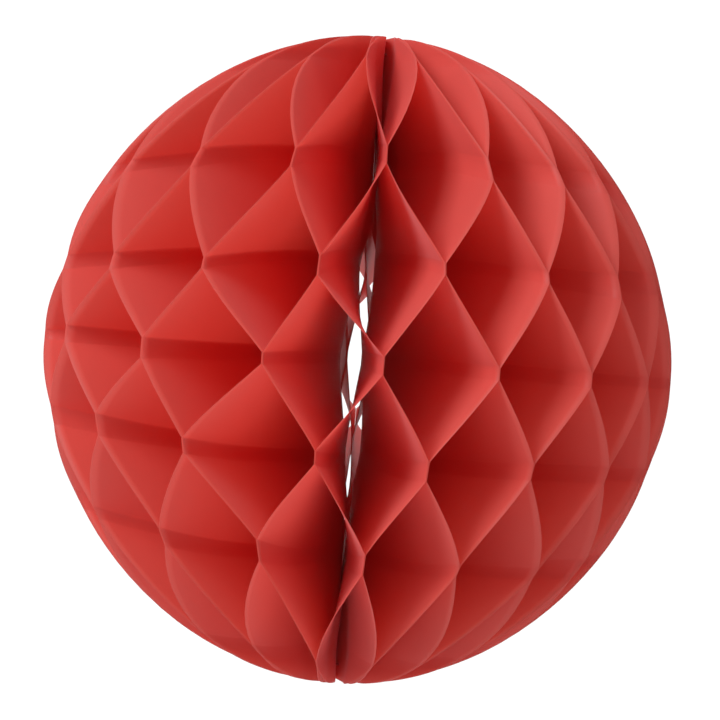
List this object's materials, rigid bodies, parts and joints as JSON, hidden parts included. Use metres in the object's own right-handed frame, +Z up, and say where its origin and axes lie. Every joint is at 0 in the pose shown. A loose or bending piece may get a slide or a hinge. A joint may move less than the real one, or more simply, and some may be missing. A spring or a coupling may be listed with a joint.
{
  "type": "honeycomb paper ball",
  "caption": "Round red paper honeycomb ball: half-oval paper leaves gummed in alternating rows open like a fan into a ball of diamond cells.",
  "frame": {"origin": "centre of the ball's bounding box, on the spine", "axes": "+Z up the spine from the lower binding to the upper one, +X to the right and -Y towards the viewer, the closing gap being at the back"},
  "size_m": [0.1918, 0.1917, 0.2],
  "materials": {
    "paper": "matte red tissue-like paper",
    "tape": "thin double-sided adhesive tape",
    "thread": "twisted cotton thread"
  },
  "bodies": {
    "spine": {"binding_thread_top": "thread", "binding_thread_bottom": "thread"},
    "fold_01": {"leaf_01": "paper", "closing_tape_upper": "tape", "closing_tape_middle": "tape", "closing_tape_lower": "tape"},
    "fold_02": {"leaf_02": "paper"},
    "fold_03": {"leaf_03": "paper"},
    "fold_04": {"leaf_04": "paper"},
    "fold_05": {"leaf_05": "paper"},
    "fold_06": {"leaf_06": "paper"},
    "fold_07": {"leaf_07": "paper"},
    "fold_08": {"leaf_08": "paper"},
    "fold_09": {"leaf_09": "paper"},
    "fold_10": {"leaf_10": "paper"},
    "fold_11": {"leaf_11": "paper"},
    "fold_12": {"leaf_12": "paper"},
    "fold_13": {"leaf_13": "paper"},
    "fold_14": {"leaf_14": "paper"},
    "fold_15": {"leaf_15": "paper"},
    "fold_16": {"leaf_16": "paper"},
    "fold_17": {"leaf_17": "paper"},
    "fold_18": {"leaf_18": "paper"},
    "fold_19": {"leaf_19": "paper"},
    "fold_20": {"leaf_20": "paper"},
    "fold_21": {"leaf_21": "paper"},
    "fold_22": {"leaf_22": "paper"},
    "fold_23": {"leaf_23": "paper"},
    "fold_24": {"leaf_24": "paper"},
    "fold_25": {"leaf_25": "paper"},
    "fold_26": {"leaf_26": "paper"},
    "fold_27": {"leaf_27": "paper"},
    "fold_28": {"leaf_28": "paper"},
    "fold_29": {"leaf_29": "paper"},
    "fold_30": {"leaf_30": "paper"},
    "fold_31": {"leaf_31": "paper"},
    "fold_32": {"leaf_32": "paper"},
    "fold_33": {"leaf_33": "paper"},
    "fold_34": {"leaf_34": "paper"},
    "fold_35": {"leaf_35": "paper"},
    "fold_36": {"leaf_36": "paper"}
  },
  "joints": [
    {"name": "open_01", "type": "hinge", "parent": "spine", "child": "fold_01", "pos_m": [0, 0, 0], "axis": [0, 0, 1], "range_deg": [0, 167.18], "deforming": ["leaf_01"]},
    {"name": "open_02", "type": "hinge", "parent": "spine", "child": "fold_02", "pos_m": [0, 0, 0], "axis": [0, 0, 1], "range_deg": [0, 157.81], "deforming": ["leaf_02"]},
    {"name": "open_03", "type": "hinge", "parent": "spine", "child": "fold_03", "pos_m": [0, 0, 0], "axis": [0, 0, 1], "range_deg": [0, 148.2], "deforming": ["leaf_03"]},
    {"name": "open_04", "type": "hinge", "parent": "spine", "child": "fold_04", "pos_m": [0, 0, 0], "axis": [0, 0, 1], "range_deg": [0, 138.38], "deforming": ["leaf_04"]},
    {"name": "open_05", "type": "hinge", "parent": "spine", "child": "fold_05", "pos_m": [0, 0, 0], "axis": [0, 0, 1], "range_deg": [0, 128.4], "deforming": ["leaf_05"]},
    {"name": "open_06", "type": "hinge", "parent": "spine", "child": "fold_06", "pos_m": [0, 0, 0], "axis": [0, 0, 1], "range_deg": [0, 118.27], "deforming": ["leaf_06"]},
    {"name": "open_07", "type": "hinge", "parent": "spine", "child": "fold_07", "pos_m": [0, 0, 0], "axis": [0, 0, 1], "range_deg": [0, 108.05], "deforming": ["leaf_07"]},
    {"name": "open_08", "type": "hinge", "parent": "spine", "child": "fold_08", "pos_m": [0, 0, 0], "axis": [0, 0, 1], "range_deg": [0, 97.75], "deforming": ["leaf_08"]},
    {"name": "open_09", "type": "hinge", "parent": "spine", "child": "fold_09", "pos_m": [0, 0, 0], "axis": [0, 0, 1], "range_deg": [0, 87.44], "deforming": ["leaf_09"]},
    {"name": "open_10", "type": "hinge", "parent": "spine", "child": "fold_10", "pos_m": [0, 0, 0], "axis": [0, 0, 1], "range_deg": [0, 77.15], "deforming": ["leaf_10"]},
    {"name": "open_11", "type": "hinge", "parent": "spine", "child": "fold_11", "pos_m": [0, 0, 0], "axis": [0, 0, 1], "range_deg": [0, 66.93], "deforming": ["leaf_11"]},
    {"name": "open_12", "type": "hinge", "parent": "spine", "child": "fold_12", "pos_m": [0, 0, 0], "axis": [0, 0, 1], "range_deg": [0, 56.81], "deforming": ["leaf_12"]},
    {"name": "open_13", "type": "hinge", "parent": "spine", "child": "fold_13", "pos_m": [0, 0, 0], "axis": [0, 0, 1], "range_deg": [0, 46.83], "deforming": ["leaf_13"]},
    {"name": "open_14", "type": "hinge", "parent": "spine", "child": "fold_14", "pos_m": [0, 0, 0], "axis": [0, 0, 1], "range_deg": [0, 37.03], "deforming": ["leaf_14"]},
    {"name": "open_15", "type": "hinge", "parent": "spine", "child": "fold_15", "pos_m": [0, 0, 0], "axis": [0, 0, 1], "range_deg": [0, 27.42], "deforming": ["leaf_15"]},
    {"name": "open_16", "type": "hinge", "parent": "spine", "child": "fold_16", "pos_m": [0, 0, 0], "axis": [0, 0, 1], "range_deg": [0, 18.05], "deforming": ["leaf_16"]},
    {"name": "open_17", "type": "hinge", "parent": "spine", "child": "fold_17", "pos_m": [0, 0, 0], "axis": [0, 0, 1], "range_deg": [0, 8.91], "deforming": ["leaf_17"]},
    {"name": "open_18", "type": "hinge", "parent": "spine", "child": "fold_18", "pos_m": [0, 0, 0], "axis": [0, 0, 1], "range_deg": [-8.66, 0], "deforming": ["leaf_18"]},
    {"name": "open_19", "type": "hinge", "parent": "spine", "child": "fold_19", "pos_m": [0, 0, 0], "axis": [0, 0, 1], "range_deg": [-17.07, 0], "deforming": ["leaf_19"]},
    {"name": "open_20", "type": "hinge", "parent": "spine", "child": "fold_20", "pos_m": [0, 0, 0], "axis": [0, 0, 1], "range_deg": [-25.26, 0], "deforming": ["leaf_20"]},
    {"name": "open_21", "type": "hinge", "parent": "spine", "child": "fold_21", "pos_m": [0, 0, 0], "axis": [0, 0, 1], "range_deg": [-33.25, 0], "deforming": ["leaf_21"]},
    {"name": "open_22", "type": "hinge", "parent": "spine", "child": "fold_22", "pos_m": [0, 0, 0], "axis": [0, 0, 1], "range_deg": [-41.07, 0], "deforming": ["leaf_22"]},
    {"name": "open_23", "type": "hinge", "parent": "spine", "child": "fold_23", "pos_m": [0, 0, 0], "axis": [0, 0, 1], "range_deg": [-48.74, 0], "deforming": ["leaf_23"]},
    {"name": "open_24", "type": "hinge", "parent": "spine", "child": "fold_24", "pos_m": [0, 0, 0], "axis": [0, 0, 1], "range_deg": [-56.31, 0], "deforming": ["leaf_24"]},
    {"name": "open_25", "type": "hinge", "parent": "spine", "child": "fold_25", "pos_m": [0, 0, 0], "axis": [0, 0, 1], "range_deg": [-63.82, 0], "deforming": ["leaf_25"]},
    {"name": "open_26", "type": "hinge", "parent": "spine", "child": "fold_26", "pos_m": [0, 0, 0], "axis": [0, 0, 1], "range_deg": [-71.31, 0], "deforming": ["leaf_26"]},
    {"name": "open_27", "type": "hinge", "parent": "spine", "child": "fold_27", "pos_m": [0, 0, 0], "axis": [0, 0, 1], "range_deg": [-78.82, 0], "deforming": ["leaf_27"]},
    {"name": "open_28", "type": "hinge", "parent": "spine", "child": "fold_28", "pos_m": [0, 0, 0], "axis": [0, 0, 1], "range_deg": [-86.39, 0], "deforming": ["leaf_28"]},
    {"name": "open_29", "type": "hinge", "parent": "spine", "child": "fold_29", "pos_m": [0, 0, 0], "axis": [0, 0, 1], "range_deg": [-94.07, 0], "deforming": ["leaf_29"]},
    {"name": "open_30", "type": "hinge", "parent": "spine", "child": "fold_30", "pos_m": [0, 0, 0], "axis": [0, 0, 1], "range_deg": [-101.9, 0], "deforming": ["leaf_30"]},
    {"name": "open_31", "type": "hinge", "parent": "spine", "child": "fold_31", "pos_m": [0, 0, 0], "axis": [0, 0, 1], "range_deg": [-109.89, 0], "deforming": ["leaf_31"]},
    {"name": "open_32", "type": "hinge", "parent": "spine", "child": "fold_32", "pos_m": [0, 0, 0], "axis": [0, 0, 1], "range_deg": [-118.09, 0], "deforming": ["leaf_32"]},
    {"name": "open_33", "type": "hinge", "parent": "spine", "child": "fold_33", "pos_m": [0, 0, 0], "axis": [0, 0, 1], "range_deg": [-126.51, 0], "deforming": ["leaf_33"]},
    {"name": "open_34", "type": "hinge", "parent": "spine", "child": "fold_34", "pos_m": [0, 0, 0], "axis": [0, 0, 1], "range_deg": [-135.17, 0], "deforming": ["leaf_34"]},
    {"name": "open_35", "type": "hinge", "parent": "spine", "child": "fold_35", "pos_m": [0, 0, 0], "axis": [0, 0, 1], "range_deg": [-144.08, 0], "deforming": ["leaf_35"]},
    {"name": "open_36", "type": "hinge", "parent": "spine", "child": "fold_36", "pos_m": [0, 0, 0], "axis": [0, 0, 1], "range_deg": [-153.23, 0], "deforming": ["leaf_36"]}
  ],
  "couplings": [
    {"joint": "open_02", "follows": "open_01", "ratio": 0.94385},
    {"joint": "open_03", "follows": "open_01", "ratio": 0.88637},
    {"joint": "open_04", "follows": "open_01", "ratio": 0.82768},
    {"joint": "open_05", "follows": "open_01", "ratio": 0.76796},
    {"joint": "open_06", "follows": "open_01", "ratio": 0.70739},
    {"joint": "open_07", "follows": "open_01", "ratio": 0.64621},
    {"joint": "open_08", "follows": "open_01", "ratio": 0.58465},
    {"joint": "open_09", "follows": "open_01", "ratio": 0.52297},
    {"joint": "open_10", "follows": "open_01", "ratio": 0.46143},
    {"joint": "open_11", "follows": "open_01", "ratio": 0.40027},
    {"joint": "open_12", "follows": "open_01", "ratio": 0.33973},
    {"joint": "open_13", "follows": "open_01", "ratio": 0.28005},
    {"joint": "open_14", "follows": "open_01", "ratio": 0.22141},
    {"joint": "open_15", "follows": "open_01", "ratio": 0.16397},
    {"joint": "open_16", "follows": "open_01", "ratio": 0.10788},
    {"joint": "open_17", "follows": "open_01", "ratio": 0.053206},
    {"joint": "open_18", "follows": "open_01", "ratio": -0.051739},
    {"joint": "open_19", "follows": "open_01", "ratio": -0.10206},
    {"joint": "open_20", "follows": "open_01", "ratio": -0.15105},
    {"joint": "open_21", "follows": "open_01", "ratio": -0.19883},
    {"joint": "open_22", "follows": "open_01", "ratio": -0.24557},
    {"joint": "open_23", "follows": "open_01", "ratio": -0.29148},
    {"joint": "open_24", "follows": "open_01", "ratio": -0.33677},
    {"joint": "open_25", "follows": "open_01", "ratio": -0.38168},
    {"joint": "open_26", "follows": "open_01", "ratio": -0.42647},
    {"joint": "open_27", "follows": "open_01", "ratio": -0.4714},
    {"joint": "open_28", "follows": "open_01", "ratio": -0.5167},
    {"joint": "open_29", "follows": "open_01", "ratio": -0.56264},
    {"joint": "open_30", "follows": "open_01", "ratio": -0.60943},
    {"joint": "open_31", "follows": "open_01", "ratio": -0.65726},
    {"joint": "open_32", "follows": "open_01", "ratio": -0.70629},
    {"joint": "open_33", "follows": "open_01", "ratio": -0.75667},
    {"joint": "open_34", "follows": "open_01", "ratio": -0.80846},
    {"joint": "open_35", "follows": "open_01", "ratio": -0.86173},
    {"joint": "open_36", "follows": "open_01", "ratio": -0.91646}
  ]
}
